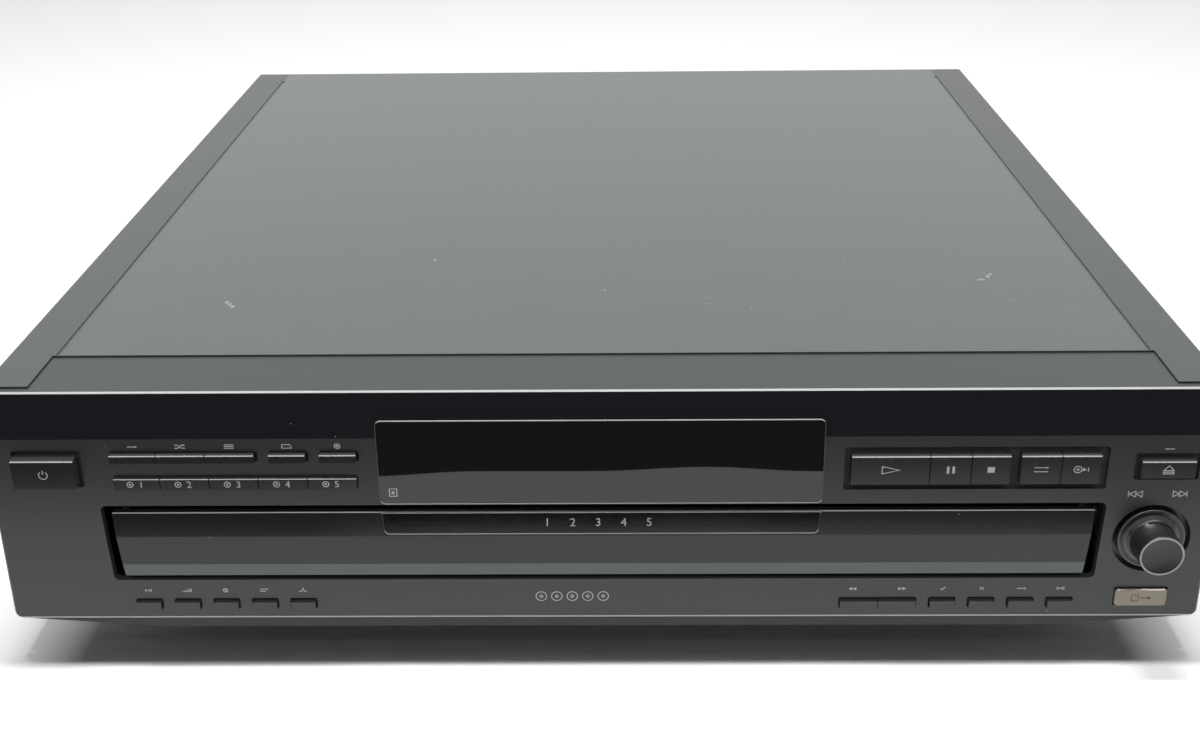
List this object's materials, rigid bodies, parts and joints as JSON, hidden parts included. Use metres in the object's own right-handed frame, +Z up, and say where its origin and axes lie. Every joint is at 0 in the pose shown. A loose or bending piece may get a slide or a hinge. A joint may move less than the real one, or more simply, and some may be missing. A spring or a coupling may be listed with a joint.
{
  "type": "multi disc cd changer",
  "caption": "Low full-width disc player with a sliding drawer that holds a turning disc table, push buttons, a jog dial and a dark display window.",
  "frame": {"origin": "bottom centre of the bounding box, on the plane that the feet stand on", "axes": "+X to the player's right as seen from the front, +Y to the back, +Z up"},
  "size_m": [0.4336, 0.424, 0.11],
  "materials": {
    "panel_plastic": "fine moulded texture, near black",
    "cover_paint": "satin black paint, fine grain",
    "zinc_sheet": "zinc-plated sheet",
    "foot_plastic": "matt black",
    "screw_black": "black passivated",
    "window_gloss": "clear gloss over black",
    "tube_glass": "smoked glass",
    "board_green": "green solder mask",
    "board_brown": "brown laminate",
    "transformer_iron": "varnished laminations",
    "jack_plated": "plated sockets",
    "gland_black": "matt black",
    "deck_plastic": "moulded black",
    "motor_steel": "drawn steel can",
    "bridge_steel": "zinc-plated steel",
    "tray_plastic": "moulded black",
    "door_plastic": "fine moulded texture, near black",
    "table_plastic": "moulded black",
    "gear_plastic": "natural acetal",
    "unit_plastic": "moulded black",
    "rod_steel": "polished steel",
    "knob_plastic": "satin black",
    "key_plastic": "satin black",
    "plate_key_plastic": "translucent pale grey"
  },
  "bodies": {
    "cabinet": {"base_chassis": "zinc_sheet", "front_panel": "panel_plastic", "top_cover": "cover_paint", "rear_panel": "cover_paint", "feet": "foot_plastic", "cover_screws": "screw_black", "display_window": "window_gloss", "display_tube": "tube_glass", "control_board": "board_green", "main_board": "board_brown", "power_transformer": "transformer_iron", "output_jacks": "jack_plated", "cord_gland": "gland_black", "mechanism_deck": "deck_plastic", "loading_motor": "motor_steel", "clamp_bridge": "bridge_steel"},
    "drawer": {"drawer_tray": "tray_plastic", "drawer_door": "door_plastic", "table_motor": "motor_steel"},
    "disc_table": {"carousel": "table_plastic"},
    "table_drive": {"table_pinion": "gear_plastic"},
    "loading_drive": {"loading_gear": "gear_plastic"},
    "optical_unit": {"optical_unit_frame": "unit_plastic", "unit_motors": "motor_steel", "guide_rods": "rod_steel"},
    "turntable": {"spindle_turntable": "gear_plastic"},
    "pickup": {"pickup_sled": "unit_plastic"},
    "ramp_slider": {"lift_slider": "gear_plastic"},
    "puck": {"clamp_puck": "gear_plastic"},
    "dial_shaft": {"jog_plunger": "rod_steel"},
    "dial": {"jog_knob": "knob_plastic"},
    "power_button": {"power_button": "key_plastic"},
    "continue_button": {"continue_button": "key_plastic"},
    "shuffle_button": {"shuffle_button": "key_plastic"},
    "program_button": {"program_button": "key_plastic"},
    "repeat_button": {"repeat_button": "key_plastic"},
    "disc_check_button": {"disc_check_button": "key_plastic"},
    "disc_1_button": {"disc_1_button": "key_plastic"},
    "disc_2_button": {"disc_2_button": "key_plastic"},
    "disc_3_button": {"disc_3_button": "key_plastic"},
    "disc_4_button": {"disc_4_button": "key_plastic"},
    "disc_5_button": {"disc_5_button": "key_plastic"},
    "play_button": {"play_button": "key_plastic"},
    "pause_button": {"pause_button": "key_plastic"},
    "stop_button": {"stop_button": "key_plastic"},
    "exchange_button": {"exchange_button": "key_plastic"},
    "disc_skip_button": {"disc_skip_button": "key_plastic"},
    "open_close_button": {"open_close_button": "key_plastic"},
    "music_scan_button": {"music_scan_button": "key_plastic"},
    "fader_button": {"fader_button": "key_plastic"},
    "time_button": {"time_button": "key_plastic"},
    "edit_button": {"edit_button": "key_plastic"},
    "peak_search_button": {"peak_search_button": "key_plastic"},
    "search_back_button": {"search_back_button": "key_plastic"},
    "search_forward_button": {"search_forward_button": "key_plastic"},
    "check_button": {"check_button": "key_plastic"},
    "clear_button": {"clear_button": "key_plastic"},
    "no_delay_button": {"no_delay_button": "key_plastic"},
    "crossfade_button": {"crossfade_button": "key_plastic"},
    "changer_control_button": {"changer_control_button": "plate_key_plastic"}
  },
  "joints": [
    {"name": "drawer_slide", "type": "slide", "parent": "cabinet", "child": "drawer", "axis": [0, -1, 0], "range_m": [0, 0.21]},
    {"name": "loading_spin", "type": "hinge", "parent": "cabinet", "child": "loading_drive", "pos_m": [0.18385, -0.15, 0.038], "axis": [0, 0, 1], "range_deg": [0, 1003]},
    {"name": "table_spin", "type": "hinge", "parent": "drawer", "child": "disc_table", "pos_m": [0, -0.028, 0.042], "axis": [0, 0, 1], "continuous": true},
    {"name": "table_pinion_spin", "type": "hinge", "parent": "drawer", "child": "table_drive", "pos_m": [-0.12587, -0.15387, 0.042], "axis": [0, 0, 1], "continuous": true},
    {"name": "unit_lift", "type": "slide", "parent": "cabinet", "child": "optical_unit", "axis": [0, 0, 1], "range_m": [0, 0.0165]},
    {"name": "ramp_slide", "type": "slide", "parent": "cabinet", "child": "ramp_slider", "axis": [1, 0, 0], "range_m": [0, 0.0301]},
    {"name": "turntable_spin", "type": "hinge", "parent": "optical_unit", "child": "turntable", "pos_m": [0, 0.076, 0.03], "axis": [0, 0, 1], "continuous": true},
    {"name": "pickup_run", "type": "slide", "parent": "optical_unit", "child": "pickup", "axis": [1, 0, 0], "range_m": [0, 0.0325]},
    {"name": "puck_spin", "type": "hinge", "parent": "cabinet", "child": "puck", "pos_m": [0, 0.076, 0.054], "axis": [0, 0, 1], "continuous": true},
    {"name": "dial_push", "type": "slide", "parent": "cabinet", "child": "dial_shaft", "axis": [0, 1, 0], "range_m": [0, 0.001], "stiffness_N_per_m": 1200},
    {"name": "dial_turn", "type": "hinge", "parent": "dial_shaft", "child": "dial", "pos_m": [0.1945, -0.201, 0.0503], "axis": [0, 1, 0], "continuous": true},
    {"name": "power_press", "type": "slide", "parent": "cabinet", "child": "power_button", "axis": [0, 1, 0], "range_m": [0, 0.0008], "stiffness_N_per_m": 900},
    {"name": "continue_press", "type": "slide", "parent": "cabinet", "child": "continue_button", "axis": [0, 1, 0], "range_m": [0, 0.0008], "stiffness_N_per_m": 900},
    {"name": "shuffle_press", "type": "slide", "parent": "cabinet", "child": "shuffle_button", "axis": [0, 1, 0], "range_m": [0, 0.0008], "stiffness_N_per_m": 900},
    {"name": "program_press", "type": "slide", "parent": "cabinet", "child": "program_button", "axis": [0, 1, 0], "range_m": [0, 0.0008], "stiffness_N_per_m": 900},
    {"name": "repeat_press", "type": "slide", "parent": "cabinet", "child": "repeat_button", "axis": [0, 1, 0], "range_m": [0, 0.0008], "stiffness_N_per_m": 900},
    {"name": "disc_check_press", "type": "slide", "parent": "cabinet", "child": "disc_check_button", "axis": [0, 1, 0], "range_m": [0, 0.0008], "stiffness_N_per_m": 900},
    {"name": "disc_1_press", "type": "slide", "parent": "cabinet", "child": "disc_1_button", "axis": [0, 1, 0], "range_m": [0, 0.0008], "stiffness_N_per_m": 900},
    {"name": "disc_2_press", "type": "slide", "parent": "cabinet", "child": "disc_2_button", "axis": [0, 1, 0], "range_m": [0, 0.0008], "stiffness_N_per_m": 900},
    {"name": "disc_3_press", "type": "slide", "parent": "cabinet", "child": "disc_3_button", "axis": [0, 1, 0], "range_m": [0, 0.0008], "stiffness_N_per_m": 900},
    {"name": "disc_4_press", "type": "slide", "parent": "cabinet", "child": "disc_4_button", "axis": [0, 1, 0], "range_m": [0, 0.0008], "stiffness_N_per_m": 900},
    {"name": "disc_5_press", "type": "slide", "parent": "cabinet", "child": "disc_5_button", "axis": [0, 1, 0], "range_m": [0, 0.0008], "stiffness_N_per_m": 900},
    {"name": "play_press", "type": "slide", "parent": "cabinet", "child": "play_button", "axis": [0, 1, 0], "range_m": [0, 0.0008], "stiffness_N_per_m": 900},
    {"name": "pause_press", "type": "slide", "parent": "cabinet", "child": "pause_button", "axis": [0, 1, 0], "range_m": [0, 0.0008], "stiffness_N_per_m": 900},
    {"name": "stop_press", "type": "slide", "parent": "cabinet", "child": "stop_button", "axis": [0, 1, 0], "range_m": [0, 0.0008], "stiffness_N_per_m": 900},
    {"name": "exchange_press", "type": "slide", "parent": "cabinet", "child": "exchange_button", "axis": [0, 1, 0], "range_m": [0, 0.0008], "stiffness_N_per_m": 900},
    {"name": "disc_skip_press", "type": "slide", "parent": "cabinet", "child": "disc_skip_button", "axis": [0, 1, 0], "range_m": [0, 0.0008], "stiffness_N_per_m": 900},
    {"name": "open_close_press", "type": "slide", "parent": "cabinet", "child": "open_close_button", "axis": [0, 1, 0], "range_m": [0, 0.0008], "stiffness_N_per_m": 900},
    {"name": "music_scan_press", "type": "slide", "parent": "cabinet", "child": "music_scan_button", "axis": [0, 1, 0], "range_m": [0, 0.0008], "stiffness_N_per_m": 900},
    {"name": "fader_press", "type": "slide", "parent": "cabinet", "child": "fader_button", "axis": [0, 1, 0], "range_m": [0, 0.0008], "stiffness_N_per_m": 900},
    {"name": "time_press", "type": "slide", "parent": "cabinet", "child": "time_button", "axis": [0, 1, 0], "range_m": [0, 0.0008], "stiffness_N_per_m": 900},
    {"name": "edit_press", "type": "slide", "parent": "cabinet", "child": "edit_button", "axis": [0, 1, 0], "range_m": [0, 0.0008], "stiffness_N_per_m": 900},
    {"name": "peak_search_press", "type": "slide", "parent": "cabinet", "child": "peak_search_button", "axis": [0, 1, 0], "range_m": [0, 0.0008], "stiffness_N_per_m": 900},
    {"name": "search_back_press", "type": "slide", "parent": "cabinet", "child": "search_back_button", "axis": [0, 1, 0], "range_m": [0, 0.0008], "stiffness_N_per_m": 900},
    {"name": "search_forward_press", "type": "slide", "parent": "cabinet", "child": "search_forward_button", "axis": [0, 1, 0], "range_m": [0, 0.0008], "stiffness_N_per_m": 900},
    {"name": "check_press", "type": "slide", "parent": "cabinet", "child": "check_button", "axis": [0, 1, 0], "range_m": [0, 0.0008], "stiffness_N_per_m": 900},
    {"name": "clear_press", "type": "slide", "parent": "cabinet", "child": "clear_button", "axis": [0, 1, 0], "range_m": [0, 0.0008], "stiffness_N_per_m": 900},
    {"name": "no_delay_press", "type": "slide", "parent": "cabinet", "child": "no_delay_button", "axis": [0, 1, 0], "range_m": [0, 0.0008], "stiffness_N_per_m": 900},
    {"name": "crossfade_press", "type": "slide", "parent": "cabinet", "child": "crossfade_button", "axis": [0, 1, 0], "range_m": [0, 0.0008], "stiffness_N_per_m": 900},
    {"name": "changer_control_press", "type": "slide", "parent": "cabinet", "child": "changer_control_button", "axis": [0, 1, 0], "range_m": [0, 0.0008], "stiffness_N_per_m": 900}
  ],
  "couplings": [
    {"joint": "loading_spin", "follows": "drawer_slide", "rad_per_m": 83.333},
    {"joint": "table_pinion_spin", "follows": "table_spin", "ratio": -11.714},
    {"joint": "ramp_slide", "follows": "unit_lift", "ratio": 1.8182}
  ]
}
